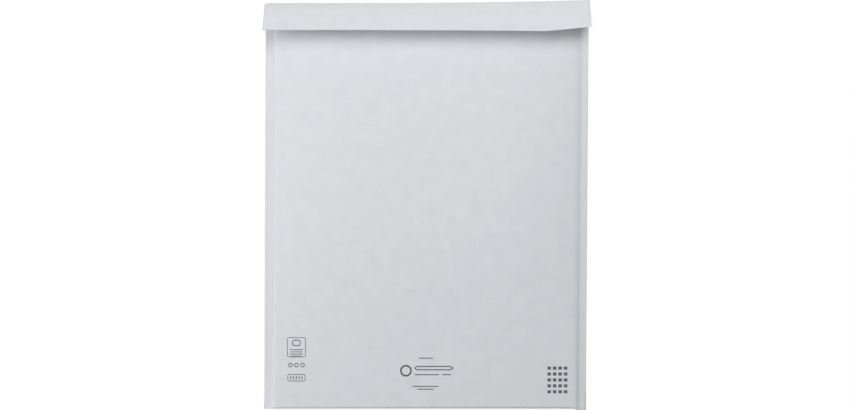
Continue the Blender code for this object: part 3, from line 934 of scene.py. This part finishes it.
@dataclass
class OuterPaper:
    """The folded paper: both panels, the foot fold, the seams, the crease and the flap."""

    sheet: FoldedSheet
    finish: PaperFinish = field(default_factory=PaperFinish)
    glue_line: float = 0.0008  # solid paper and glue inside a seam
    # wear along the cut edges, with painted shade where they turn away from the light
    wear_and_shade_reach: float = 0.0011
    wear_and_shade: float = 0.45
    body_wear_and_shade: float = 0.75  # share of it on the edges beside the flap's
    # painted shade along the foot fold, where it turns down
    painted_foot_shade_reach: float = 0.0032
    painted_foot_shade: float = 0.06
    painted_seam_shade: float = 0.30  # painted shade along the left seam's pressed inner line
    painted_seam_shade_place: float = 0.0003
    painted_seam_shade_reach: float = 0.0008
    painted_crease_shade: float = 0.10  # painted shade along the crease, but for its right end
    painted_crease_shade_reach: float = 0.0016
    painted_crease_shade_end: tuple[float, float] = (0.50, 0.75)  # it fades out between these shares of the width
    inner_beside: float = 0.01  # in flat coordinates, the inner face from the outer one
    bared_length: float = 0.0220  # the right seam has opened so far up from its lower end
    bared_fade: float = 0.0015
    bared_width: float = 0.0007
    bared_full: float = 0.6  # share of that width that is fully bared

    def build(self) -> Thing:
        """Builds the sheet with its thickness and the bonded seams.

        Returns:
            The paper, dressed.
        """
        sheet, mesh = self.sheet, Mesh()
        mouth, columns = sheet.mouth, len(sheet.inset)
        free = np.flatnonzero(sheet.inward > self.glue_line - SAME)
        first, last = int(free[0]), int(free[-1])
        inner_points = sheet.points - sheet.normals * sheet.wall.paper
        outer = mesh.points(sheet.points)
        bag = mesh.points(inner_points[:mouth, first : last + 1])
        beyond = mesh.points(inner_points[mouth:])
        bag.append(beyond[0][first : last + 1])
        mesh.grid(outer)
        mesh.grid(bag)
        mesh.grid(beyond)
        self.close_seam(mesh, [row[0] for row in bag])
        self.close_seam(mesh, [row[-1] for row in bag])
        self.close_seam(mesh, [row[0] for row in outer[: mouth + 1]], (beyond[0][0],))
        self.close_seam(mesh, [row[-1] for row in outer[: mouth + 1]], (beyond[0][-1],))
        for edge in (0, -1):
            mesh.strip([row[edge] for row in outer[mouth:]], [row[edge] for row in beyond])
        mesh.strip(outer[-1], beyond[-1])
        mesh.strip(outer[0][first : last + 1], bag[0])
        mesh.strip(outer[0][:first], beyond[0][:first])
        mesh.strip(outer[0][last + 1 :], beyond[0][last + 1 :])
        for seam, panel, corner in ((first - 1, first, bag[0][0]), (last + 1, last, bag[0][-1])):
            ring = (outer[0][seam], outer[0][panel], corner, beyond[0][panel], beyond[0][seam])
            mesh.bm.faces.new(ring)
        inner_cols = [list(range(first, last + 1))] * mouth + [list(range(columns))] * len(beyond)
        thing = mesh.finish("envelope_paper", self.finish.make())
        self.dress(thing, inner_cols)
        return thing

    def close_seam(self, mesh: Mesh, line: list, ends: tuple = ()) -> None:
        """Joins front to back along one side of a folded grid.

        The front has twice as many rows as the back, so its lines are taken in the order that
        they come in from the mouth.

        Args:
            mesh: the mesh.
            line: vertices down the front and up the back.
            ends: vertices that the face at the mouth also takes, between the line's two ends.
        """
        front, back = line[: self.sheet.tip + 1], line[: self.sheet.tip - 1 : -1]
        i = j = 0
        while i < len(front) - 1 or j < len(back) - 1:
            ring = [front[i]]
            next_front = front[i + 1].co.y if i < len(front) - 1 else -math.inf
            next_back = back[j + 1].co.y if j < len(back) - 1 else -math.inf
            level = abs(next_front - next_back) < SAME
            if level or next_front > next_back:
                i += 1
                ring.append(front[i])
            ring.append(back[j])
            if level or next_front < next_back:
                j += 1
                ring.insert(-1, back[j])
            ring = [v for k, v in enumerate(ring) if v is not ring[k - 1]]
            if i + j < 3:
                ring += ends
                ends = ()
            if len(ring) > 2:
                mesh.bm.faces.new(ring)

    def dress(self, thing: Thing, inner_cols: list[list[int]]) -> None:
        """Gives the paper its flat coordinates and marks its wear and its painted shade.

        Args:
            thing: the paper.
            inner_cols: the columns that the inner face has in each row.
        """
        sheet = self.sheet
        rows, columns = sheet.points.shape[:2]
        flat = [(x, y) for y in sheet.flat_y for x in sheet.flat_x]
        beside = sheet.foot_width + self.inner_beside
        lines = enumerate(inner_cols)
        flat += [(beside + sheet.flat_x[c], sheet.flat_y[r]) for r, line in lines for c in line]
        flat = np.array(flat)
        mesh = thing.data
        corners = np.empty(len(mesh.loops), int)
        mesh.loops.foreach_get("vertex_index", corners)
        layer = mesh.uv_layers.new(name="sheet")
        layer.uv.foreach_set("vector", flat[corners].astype(np.float32).ravel())

        number = np.arange(rows)[:, None]
        y = sheet.points[..., 1] - sheet.points[..., 1].min()
        on_front = number <= sheet.tip
        share = np.where(number > sheet.flap, 1.0, self.body_wear_and_shade)
        # wear along the cut edges, with painted shade where they turn away from the light
        wear_and_shade = self.wear_and_shade * share * np.exp(-sheet.inset / self.wear_and_shade_reach)
        # painted shade along the foot fold, where it turns down
        foot = self.painted_foot_shade * np.exp(-y / self.painted_foot_shade_reach) * on_front
        # painted shade along the left seam's pressed inner line
        line = fade(sheet.inward - self.painted_seam_shade_place, self.painted_seam_shade_reach)
        line = self.painted_seam_shade * line * (sheet.side < 0) * on_front
        # painted shade along the crease, fading out towards its right end
        crease = self.painted_crease_shade * np.exp((y - y.max(axis=0)) / self.painted_crease_shade_reach)
        start, end = self.painted_crease_shade_end
        faded = swing((sheet.flat_x / sheet.foot_width - start) / (end - start))
        crease *= (number > sheet.mouth) * (1.0 - faded)
        # the wear and all the painted shade in one mask
        wear_and_shade = np.maximum.reduce(np.broadcast_arrays(wear_and_shade, foot, line, crease))
        # the film's edge bared at the right seam's foot, with painted shade between the layers
        at_foot = np.clip((self.bared_length - y) / self.bared_fade, 0.0, 1.0) * on_front
        across = np.clip(1.0 + self.bared_full - sheet.inset / self.bared_width, 0.0, 1.0)
        bared_and_shaded = at_foot * (sheet.side > 0) * across
        inner_count = len(flat) - rows * columns
        for name, outer, inner in (
            ("wear_and_painted_shade", wear_and_shade, 0.0),
            ("bared_film_and_shade", bared_and_shaded, 0.0),
            ("inner_side", np.zeros((rows, columns)), 1.0),
        ):
            values = np.concatenate([outer.ravel(), np.full(inner_count, inner)])
            marked = mesh.attributes.new(name, "FLOAT", "POINT")
            marked.data.foreach_set("value", values.astype(np.float32))
        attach(thing, "root")
        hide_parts("outer_paper")


@dataclass
class BubbleLining:
    """The web of bubble film: a flat film at the pocket, with sealed bubbles towards the paper."""

    sheet: FoldedSheet
    finish: BubbleFilmFinish = field(default_factory=BubbleFilmFinish)
    inset: float = 0.0040  # film from a seam's inner edge
    setback: float = 0.0020  # film behind the front panel's lip
    film: float = 0.00010
    pitch: float = 0.0113
    bubble_width: float = 0.0100
    selvage: float = 0.0065  # flat film along the film's cut ends
    clear_of_seam: float = 0.0130
    clear_of_fold: float = 0.0090
    least_room: float = 0.0019  # a lower bubble is left out
    weld: float = 0.000005  # the film's edges are joined over this gap
    drawn_in: float = 0.36  # a bubble's top is narrower than its foot by this share
    sides: int = 10  # of a bubble
    columns: int = 44  # of the film
    rows: int = 76  # of the film, on each panel
    fill: float = 0.4

    def depths(self, row: np.ndarray, col: np.ndarray) -> np.ndarray:
        """How deep the film's face at the pocket lies, at numbered places of the sheet."""
        sheet, wall = self.sheet, self.sheet.wall
        swollen = between(np.array([sheet.crown(up) for up in sheet.ups]), row, col)
        return wall.skin + wall.lining_at_seam + (wall.lining - wall.lining_at_seam) * swollen

    def ends(self) -> tuple[float, float]:
        """Row numbers of the film's two cut ends, on the front and on the back."""
        sheet = self.sheet
        middle = len(sheet.inset) // 2
        behind_lip = np.array([sheet.ups[0][middle] - up[middle] for up in sheet.ups])
        number = np.arange(sheet.mouth + 1)
        panels = (slice(0, sheet.tip), slice(sheet.mouth, sheet.tip, -1))
        return tuple(float(np.interp(self.setback, behind_lip[at], number[at])) for at in panels)

    def web(self) -> tuple[Thing, float, float]:
        """The film's face at the pocket, as an open sheet with its flat coordinates.

        Returns:
            The sheet, its flat width and its flat length.
        """
        sheet, tip = self.sheet, self.sheet.tip
        left = sheet.col_at(sheet.left_seam + self.inset)
        right = sheet.col_at(sheet.foot_width - sheet.right_seam - self.inset)
        cols = np.linspace(left, right, self.columns)
        first, last = self.ends()
        turns = sheet.fold_steps
        front = np.linspace(first, tip - turns - 1, self.rows)
        fold = np.arange(tip - turns, tip + turns + 1)
        rows = np.concatenate([front, fold, np.linspace(tip + turns + 1, last, self.rows)])
        r, c = np.meshgrid(rows, cols, indexing="ij")
        depth = self.depths(r, c)
        points = sheet.sample(r, c, depth)
        along = distances_along(points[:, len(cols) // 2])
        across = points[0, :, 0] - points[0, 0, 0]

        mesh = bpy.data.meshes.new("web")
        count = len(cols)
        quads = [
            (i * count + j, (i + 1) * count + j, (i + 1) * count + j + 1, i * count + j + 1)
            for i in range(len(rows) - 1)
            for j in range(count - 1)
        ]
        mesh.from_pydata([tuple(p) for p in points.reshape(-1, 3)], [], quads)
        fold_at = along[len(front) + len(fold) // 2]
        from_fold = np.abs(along - fold_at)[:, None]
        from_end = np.minimum(along, along[-1] - along)[:, None]
        from_seam = np.minimum(across, across[-1] - across)[None, :] + self.inset
        room = depth - sheet.wall.skin - self.film / 2
        allowed = (from_fold > self.clear_of_fold) & (from_end > self.selvage)
        allowed = allowed & (from_seam > self.clear_of_seam)
        flat = np.stack(np.meshgrid(along, across, indexing="ij")[::-1] + [0 * r], axis=-1)
        for name, kind, key, values in (
            ("film_place", "FLOAT_VECTOR", "vector", flat),
            ("bubble_room", "FLOAT", "value", room * allowed),
        ):
            marked = mesh.attributes.new(name, kind, "POINT")
            marked.data.foreach_set(key, values.reshape(-1).astype(np.float32))
        return placed("web", mesh), float(across[-1]), float(along[-1])

    def flat_field(self, graph: Graph, given: bpy.types.NodeOutputs) -> tuple:
        """A flat field of points in staggered rows.

        Args:
            graph: the node tree.
            given: the tree's inputs.

        Returns:
            The points, and the place of each in the film's own coordinates.
        """
        pitch, width, length = (given[name] for name in ("Pitch", "Web Width", "Web Length"))
        row_step = graph.times(pitch, math.sqrt(3) / 2)
        columns = graph.math("CEIL", graph.math("DIVIDE", width, pitch))
        rows = graph.math("CEIL", graph.math("DIVIDE", length, row_step))
        sides = {
            "Size X": graph.times(graph.math("SUBTRACT", columns, 1.0), pitch),
            "Size Y": graph.times(graph.math("SUBTRACT", rows, 1.0), row_step),
            "Vertices X": columns,
            "Vertices Y": rows,
        }
        points = graph.node("GeometryNodeMeshGrid", sides).outputs["Mesh"]
        here = graph.position()
        up = graph.math("ADD", here[1], graph.times(length, 0.5))
        number = graph.math("ROUND", graph.math("DIVIDE", up, row_step))
        stagger = graph.times(graph.math("PINGPONG", number, 1.0), graph.times(pitch, 0.5))
        right = graph.math("ADD", here[0], graph.times(width, 0.5))
        return points, graph.vector(graph.math("ADD", right, stagger), up)

    def cell(self, graph: Graph) -> Socket:
        """One bubble of radius 1 and height 1, with soft shoulders and a flat top."""
        rough = {"Vertices": self.sides, "Side Segments": 2, "Fill Segments": 1, "Depth": 1.0}
        rough = graph.node("GeometryNodeMeshCylinder", rough).outputs["Mesh"]
        at = graph.position()
        up = graph.math("ADD", at[2], 0.5)
        narrowed = graph.math("SUBTRACT", 1.0, graph.times(graph.times(up, up), self.drawn_in))
        height = graph.math("SINE", graph.times(up, math.pi / 2))
        place = graph.vector(graph.times(at[0], narrowed), graph.times(at[1], narrowed), height)
        return graph.node("GeometryNodeSetPosition", {"Geometry": rough, "Position": place}).outputs[0]

    def tree(self) -> bpy.types.NodeTree:
        """The node tree that lays bubbles on a web in staggered rows."""
        tree = bpy.data.node_groups.new("bubble_rows", "GeometryNodeTree")
        floats = ("Pitch", "Bubble Width", "Film", "Web Width", "Web Length")
        for name, way, kind in (
            ("Web", "INPUT", "Geometry"),
            *((name, "INPUT", "Float") for name in floats),
            ("Finish", "INPUT", "Material"),
            ("Lining", "OUTPUT", "Geometry"),
        ):
            tree.interface.new_socket(name, in_out=way, socket_type="NodeSocket" + kind)
        graph = Graph(tree)
        given = graph.node("NodeGroupInput").outputs
        web = given["Web"]
        points, flat = self.flat_field(graph, given)

        # Each point's place, way up and room on the folded web
        def named(name: str, kind: str) -> Socket:
            """An attribute of the web."""
            return graph.node("GeometryNodeInputNamedAttribute", {"Name": name}, data_type=kind).outputs[0]

        def on_web(value: Socket, kind: str) -> Socket:
            """Reads a value of the web at each point of the flat field."""
            inputs = {"Mesh": web, "Value": value, "Source UV Map": web_place, "Sample UV": flat}
            return graph.node("GeometryNodeSampleUVSurface", inputs, data_type=kind).outputs["Value"]

        web_place = named("film_place", "FLOAT_VECTOR")
        place = on_web(graph.node("GeometryNodeInputPosition").outputs[0], "FLOAT_VECTOR")
        normal = on_web(graph.node("GeometryNodeInputNormal").outputs[0], "FLOAT_VECTOR")
        kept = graph.node("GeometryNodeCaptureAttribute", {"Geometry": points}, domain="POINT")
        for kind, name, value in (
            ("VECTOR", "Up", normal),
            ("FLOAT", "Room", on_web(named("bubble_room", "FLOAT"), "FLOAT")),
        ):
            kept.capture_items.new(kind, name)
            graph.put(kept.inputs[name], value)
        raised = {0: normal, "Scale": graph.times(given["Film"], 0.5)}
        raised = graph.node("ShaderNodeVectorMath", raised, operation="SCALE").outputs[0]
        lifted = graph.node("ShaderNodeVectorMath", {0: place, 1: raised}).outputs[0]
        laid = {"Geometry": kept.outputs["Geometry"], "Position": lifted}
        upright = {"Vector": kept.outputs["Up"]}
        upright = graph.node("FunctionNodeAlignRotationToVector", upright, axis="Z").outputs[0]
        radius = graph.times(given["Bubble Width"], 0.5)
        bubbles = {
            "Points": graph.node("GeometryNodeSetPosition", laid).outputs[0],
            "Selection": graph.math("GREATER_THAN", kept.outputs["Room"], self.least_room),
            "Instance": self.cell(graph),
            "Rotation": upright,
            "Scale": graph.vector(radius, radius, kept.outputs["Room"]),
        }
        bubbles = graph.node("GeometryNodeInstanceOnPoints", bubbles).outputs[0]

        # The flat film, closed all round
        pulled = {"Mesh": web, "Offset Scale": given["Film"], "Individual": False}
        film = graph.node("GeometryNodeExtrudeMesh", pulled).outputs["Mesh"]
        slab = self.joined(graph, film, graph.node("GeometryNodeFlipFaces", {"Mesh": web}).outputs[0])
        welded = {"Geometry": slab, "Distance": self.weld}
        welded = graph.node("GeometryNodeMergeByDistance", welded).outputs[0]
        real = {"Geometry": self.joined(graph, welded, bubbles)}
        real = graph.node("GeometryNodeRealizeInstances", real).outputs[0]
        smooth = graph.node("GeometryNodeSetShadeSmooth", {"Geometry": real}).outputs[0]
        dressed = graph.node("GeometryNodeSetMaterial", {"Geometry": smooth, "Material": given["Finish"]})
        graph.node("NodeGroupOutput", {"Lining": dressed.outputs[0]})
        return tree

    def joined(self, graph: Graph, *parts: Socket) -> Socket:
        """Several geometries as one."""
        join = graph.node("GeometryNodeJoinGeometry")
        for part in parts:
            graph.put(join.inputs[0], part)
        return join.outputs[0]

    def build(self) -> Thing:
        """Builds the lining as one plain mesh.

        Returns:
            The lining, dressed.
        """
        web, width, length = self.web()
        modifier = web.modifiers.new("bubble_rows", "NODES")
        modifier.node_group = self.tree()
        values = {
            "Pitch": self.pitch,
            "Bubble Width": self.bubble_width,
            "Film": self.film,
            "Web Width": width,
            "Web Length": length,
            "Finish": self.finish.make(),
        }
        for item in modifier.node_group.interface.items_tree:
            if item.in_out == "INPUT" and item.name in values:
                modifier[item.identifier] = values[item.name]
        evaluated = web.evaluated_get(bpy.context.evaluated_depsgraph_get())
        mesh = bpy.data.meshes.new_from_object(evaluated)
        web.modifiers.clear()
        flat_web = web.data
        bpy.data.objects.remove(web)
        bpy.data.meshes.remove(flat_web)
        mesh.name = "envelope_lining"
        thing = placed(mesh.name, mesh)
        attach(thing, "root")
        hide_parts("bubble_lining")
        return thing


@dataclass
class ClosingStrip:
    """The glue across the inside of the flap, and the release liner that covers it."""

    sheet: FoldedSheet
    glue_finish: GlueFinish = field(default_factory=GlueFinish)
    liner_finish: LinerFinish = field(default_factory=LinerFinish)
    glue_thickness: float = 0.0003
    glue_width: float = 0.0180
    glue_margin: float = 0.0060
    glue_end: float = 0.0050
    liner_thickness: float = 0.0003
    liner_overlap: float = 0.0020
    liner_end: float = 0.0025
    cockle: float = 0.00009  # the liner's own waves
    cockle_length: float = 0.0300
    cockle_drift: tuple[float, float] = (0.9, 31.0)  # the waves crowd and spread this much and often
    columns: int = 150
    rows: int = 12

    def strip(
        self, name: str, material: bpy.types.Material, depth: float, thickness: float, end: float,
        edges: tuple[float, float], cockle: float = 0.0,
    ) -> Thing:
        """A thin strip along the flap's inner face.

        Args:
            name: the piece's name.
            material: its finish.
            depth: how deep its near face lies.
            thickness: how thick it is.
            end: how far it stops short of the flap's ends.
            edges: distances along the flap of its two long edges.
            cockle: height of its waves.

        Returns:
            The strip.
        """
        sheet = self.sheet
        across = np.linspace(end, sheet.foot_width - end, self.columns)
        along = np.linspace(*edges, self.rows)
        r, c = np.meshgrid(sheet.flap_row_at(along), sheet.col_at(across), indexing="ij")
        much, often = self.cockle_drift
        phase = 2 * math.pi * across / self.cockle_length + much * np.sin(often * across)
        wave = 0.5 + 0.5 * np.sin(phase)
        rise = cockle * wave[None, :] * np.ones_like(r)
        near = sheet.sample(r, c, depth + rise)
        far = sheet.sample(r, c, depth + thickness + rise)
        mesh = Mesh()
        mesh.plate(near, far)
        return mesh.finish(name, material)

    def build(self) -> list[Thing]:
        """Builds and dresses the glue and the liner."""
        skin = self.sheet.wall.skin
        far = self.sheet.flap_length - self.glue_margin
        near = far - self.glue_width
        glue = self.strip(
            "envelope_glue", self.glue_finish.make(), skin, self.glue_thickness, self.glue_end, (near, far)
        )
        over = skin + self.glue_thickness + self.sheet.wall.gap
        edges = (near - self.liner_overlap, far + self.liner_overlap)
        liner = self.strip(
            "envelope_liner", self.liner_finish.make(), over, self.liner_thickness, self.liner_end, edges,
            self.cockle,
        )
        for thing, node, slot in (
            (glue, "adhesive_strip", "hot_melt_glue"),
            (liner, "release_liner", "liner_film"),
        ):
            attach(thing, "root")
            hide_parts(node)
        return [glue, liner]


@dataclass(frozen=True)
class MarkGroup:
    """Marks round one place of the front panel, each with its way from there and its sizes."""

    place: tuple[float, float]
    frames: tuple = ()  # right, up, width, height, line
    bars: tuple = ()  # right, up, width, height
    discs: tuple = ()  # right, up, radius, hole


@dataclass
class PrintedMarks:
    """Plain marks in grey ink at the foot of the front panel, laid on as a thin film of ink."""

    sheet: FoldedSheet
    finish: InkFinish = field(default_factory=InkFinish)
    ink: float = 0.00004
    clearance: float = 0.00002
    cell: float = 0.0025  # largest step of an ink plate, so that it follows the paper

    corner_lines: float = 3.0  # a frame's outer corners have a radius of so many lines
    corner_steps: int = 6
    side_steps: int = 6
    disc_sides: int = 32
    groups: tuple[MarkGroup, ...] = (
        MarkGroup(
            (-0.1492, -0.1800),
            frames=(
                (0.0, 0.0170, 0.0215, 0.0230, 0.0007),
                (0.0, 0.0220, 0.0100, 0.0075, 0.0011),
                (0.0, -0.0180, 0.0205, 0.0085, 0.0008),
            ),
            bars=(
                *((0.0, 0.0142 - 0.0026 * k, 0.0150 - 0.0022 * (k % 2), 0.0009) for k in range(4)),
                *((-0.0064 + 0.0032 * k, -0.0180, 0.0011, 0.0040) for k in range(5)),
            ),
            discs=tuple((-0.0070 + 0.0070 * k, -0.0035, 0.0026, 0.0016) for k in range(3)),
        ),
        MarkGroup(
            (-0.0010, -0.1920),
            frames=((0.0095, 0.0050, 0.0440, 0.0050, 0.0012),),
            bars=(
                (0.0015, -0.0026, 0.0280, 0.0011),
                (0.0240, -0.0026, 0.0100, 0.0011),
                (0.0005, 0.0165, 0.0160, 0.0011),
                (0.0, -0.0160, 0.0300, 0.0011),
                (0.0, -0.0192, 0.0190, 0.0011),
            ),
            discs=((-0.0225, 0.0020, 0.0068, 0.0048),),
        ),
        MarkGroup(
            (0.1505, -0.2000),
            bars=tuple(
                (-0.0095 + 0.0063 * (k % 4), 0.0130 - 0.0068 * (k // 4), 0.0040, 0.0036) for k in range(20)
            ),
        ),
    )

    def laid(self, mesh: Mesh, x: np.ndarray, y: np.ndarray) -> None:
        """Lays a grid of points of the front panel as a plate of ink."""
        row, col = self.sheet.front_place(x.ravel(), y.ravel())
        low = self.sheet.sample(row, col, np.full(row.shape, -self.clearance)).reshape(*x.shape, 3)
        high = self.sheet.sample(row, col, np.full(row.shape, -self.clearance - self.ink))
        mesh.plate(low, high.reshape(*x.shape, 3))

    def bar(self, mesh: Mesh, x: float, y: float, width: float, height: float) -> None:
        """A solid upright rectangle."""
        across, up = (
            np.linspace(-size / 2, size / 2, max(2, math.ceil(size / self.cell) + 1))
            for size in (width, height)
        )
        self.laid(mesh, *np.meshgrid(x + across, y + up))

    def ring(self, mesh: Mesh, outer: np.ndarray, inner: np.ndarray) -> None:
        """A closed band between two outlines of as many points.

        Args:
            mesh: the mesh.
            outer: X and Y of the points of the outer outline.
            inner: X and Y of the points of the inner outline.
        """
        loops = []
        for lift in (self.clearance, self.clearance + self.ink):
            for outline in (outer, inner):
                row, col = self.sheet.front_place(outline[:, 0], outline[:, 1])
                points = self.sheet.sample(row, col, np.full(row.shape, -lift))
                loops.append(mesh.points(points[None])[0])
        for near, far in ((0, 1), (1, 3), (3, 2), (2, 0)):
            mesh.loop(loops[near], loops[far])

    def rounded(self, centre: np.ndarray, size: np.ndarray, radius: float) -> np.ndarray:
        """The outline of a rectangle with round corners.

        Args:
            centre: X and Y of its middle.
            size: its width and height.
            radius: of its corners.

        Returns:
            X and Y of the outline's points.
        """
        turns = math.pi / 2 * np.linspace(0.0, 1.0, self.corner_steps + 1)[:, None]
        arcs = []
        for k, corner in enumerate(((1, 1), (-1, 1), (-1, -1), (1, -1))):
            turn = math.pi / 2 * k + turns
            middle = centre + np.array(corner) * (size / 2 - radius)
            arcs.append(middle + radius * np.hstack([np.cos(turn), np.sin(turn)]))
        steps = np.linspace(0.0, 1.0, self.side_steps + 1)[1:-1, None]
        outline = []
        for arc, following in zip(arcs, arcs[1:] + arcs[:1]):
            outline += [arc, arc[-1] + (following[0] - arc[-1]) * steps]
        return np.concatenate(outline)

    def frame(self, mesh: Mesh, x: float, y: float, width: float, height: float, line: float) -> None:
        """An open rectangle with round corners.

        Args:
            mesh: the mesh.
            x: X of its middle.
            y: Y of its middle.
            width: its width, outside.
            height: its height, outside.
            line: width of its line.
        """
        centre, size = np.array((x, y)), np.array((width, height))
        outer = self.rounded(centre, size, self.corner_lines * line)
        inner = self.rounded(centre, size - 2 * line, (self.corner_lines - 1) * line)
        self.ring(mesh, outer, inner)

    def disc(self, mesh: Mesh, x: float, y: float, radius: float, hole: float) -> None:
        """A round mark with a round hole.

        Args:
            mesh: the mesh.
            x: X of its middle.
            y: Y of its middle.
            radius: of its outer edge.
            hole: radius of its hole.
        """
        turns = np.linspace(0.0, 2 * math.pi, self.disc_sides + 1)[:-1]
        circle = np.stack([np.cos(turns), np.sin(turns)], axis=1)
        middle = (radius + hole) / 2
        for outer, inner in ((radius, middle), (middle, hole)):
            self.ring(mesh, (x, y) + circle * outer, (x, y) + circle * inner)

    def build(self) -> Thing:
        """Prints the three groups of marks.

        Returns:
            The ink, dressed.
        """
        mesh = Mesh()
        for group in self.groups:
            x, y = group.place
            kinds = (self.frame, group.frames), (self.bar, group.bars), (self.disc, group.discs)
            for draw, shapes in kinds:
                for right, up, *sizes in shapes:
                    draw(mesh, x + right, y + up, *sizes)
        thing = mesh.finish("envelope_print", self.finish.make())
        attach(thing, "root")
        return thing


@dataclass(frozen=True)
class SoftLamp:
    """A rectangular soft box that faces the middle of the floor."""

    name: str
    place: tuple[float, float, float]
    width: float
    height: float
    power: float

    def hang(self) -> Thing:
        """Puts the lamp into the scene."""
        lamp = bpy.data.lights.new(self.name, "AREA")
        lamp.shape = "RECTANGLE"
        lamp.size, lamp.size_y = self.width, self.height
        lamp.energy = self.power
        thing = placed(self.name, lamp)
        thing.location = self.place
        thing.rotation_euler = (-Vector(self.place)).to_track_quat("-Z", "Y").to_euler()
        return thing


@dataclass
class Studio:
    """A plain white floor, soft light and the camera straight above."""

    lamps: tuple[SoftLamp, ...] = (
        SoftLamp("left_box", (-1.55, 0.16, 1.09), 1.4, 0.9, 11.3),
        SoftLamp("right_box", (0.47, 0.88, 1.19), 0.8, 0.8, 9.7),
        SoftLamp("high_box", (-0.70, 0.40, 1.72), 1.2, 0.9, 9.2),
        SoftLamp("top_box", (0.00, 0.03, 1.90), 0.9, 0.9, 3.1),
        SoftLamp("low_box", (-0.78, -1.11, 0.36), 0.7, 0.7, 3.2),
    )
    ambient: float = 0.070
    camera_place: tuple[float, float, float] = (0.0007, 0.00025, 1.85)
    focus_height: float = 0.004
    pixel: float = 0.0011505  # one pixel of the picture at that height
    sensor: float = 36.0
    clip_end: float = 50.0
    floor_size: float = 12.0
    floor_drop: float = 0.0002  # under the envelope
    floor_level: float = 0.80  # how light the floor is to everything but the eye
    floor_shade: float = 0.07  # share of the floor's look that its shadows take
    floor_lit: float = 0.7  # how bright the lamps make a white floor, taken off its glow

    def white_for_eye(self, graph: Graph) -> Socket:
        """1 for rays that show the background itself, in the picture, a gloss or a glass."""
        seen = graph.node("ShaderNodeLightPath").outputs
        shown = graph.math("MAXIMUM", seen["Is Camera Ray"], seen["Is Glossy Ray"])
        return graph.math("MAXIMUM", shown, seen["Is Transmission Ray"])

    def sky(self) -> None:
        """Lights the scene evenly from all round, and shows plain white."""
        world = bpy.data.worlds.new("white_room")
        world.use_nodes = True
        bpy.context.scene.world = world
        graph = Graph(world.node_tree)
        level = world.node_tree.nodes["Background"]
        level.inputs["Color"].default_value = grey(1.0)
        strength = graph.spread(self.white_for_eye(graph), self.ambient, 1.0)
        graph.put(level.inputs["Strength"], strength)

    def floor(self) -> Thing:
        """Lays the white floor, which keeps a faint shadow."""
        half, corners = self.floor_size / 2, ((-1, -1), (1, -1), (1, 1), (-1, 1))
        mesh = bpy.data.meshes.new("floor")
        mesh.from_pydata([(half * x, half * y, -self.floor_drop) for x, y in corners], [], [(0, 1, 2, 3)])
        material = bpy.data.materials.new("white_floor")
        material.use_nodes = True
        graph = Graph(material.node_tree)
        material.node_tree.nodes.clear()
        lit = graph.node("ShaderNodeBsdfDiffuse", {"Color": grey(self.floor_level)})
        shaded = graph.node("ShaderNodeBsdfDiffuse", {"Color": grey(self.floor_shade)})
        glow = {"Color": grey(1.0), "Strength": 1.0 - self.floor_lit * self.floor_shade}
        glow = graph.node("ShaderNodeEmission", glow)
        shown = graph.node("ShaderNodeAddShader", {0: shaded.outputs[0], 1: glow.outputs[0]})
        by_ray = {0: self.white_for_eye(graph), 1: lit.outputs[0], 2: shown.outputs[0]}
        both = graph.node("ShaderNodeMixShader", by_ray)
        graph.node("ShaderNodeOutputMaterial", {"Surface": both.outputs[0]})
        mesh.materials.append(material)
        thing = placed("floor", mesh)
        return thing

    def camera(self) -> Thing:
        """Hangs the camera straight above the envelope, looking down."""
        lens = bpy.data.cameras.new("camera")
        lens.sensor_fit = "HORIZONTAL"
        lens.sensor_width = self.sensor
        reach = self.camera_place[2] - self.focus_height
        lens.lens = self.sensor * reach / (PICTURE_WIDTH * self.pixel)
        lens.clip_end = self.clip_end
        thing = placed("camera", lens)
        thing.location = self.camera_place
        bpy.context.scene.camera = thing
        return thing

    def build(self) -> None:
        """Sets up the floor, the light and the camera."""
        bpy.context.scene.view_settings.view_transform = "Standard"
        self.camera()
        self.sky()
        self.floor()
        for lamp in self.lamps:
            lamp.hang()


def report(thing: Thing) -> None:
    """Says how large one piece is and how many triangles it has."""
    thing.data.calc_loop_triangles()
    size = ", ".join(f"{1000 * side:.1f}" for side in thing.dimensions)
    log.info("%s: %s mm, %d triangles", thing.name, size, len(thing.data.loop_triangles))


def main() -> None:
    """Builds the envelope from its sheet outwards and sets it in the studio."""
    logging.basicConfig(level=logging.INFO, format="%(name)s %(message)s")
    Studio().build()
    sheet = FoldedSheet()
    report(OuterPaper(sheet).build())
    report(BubbleLining(sheet).build())
    for piece in ClosingStrip(sheet).build():
        report(piece)
    report(PrintedMarks(sheet).build())


if __name__ == "__main__":
    main()
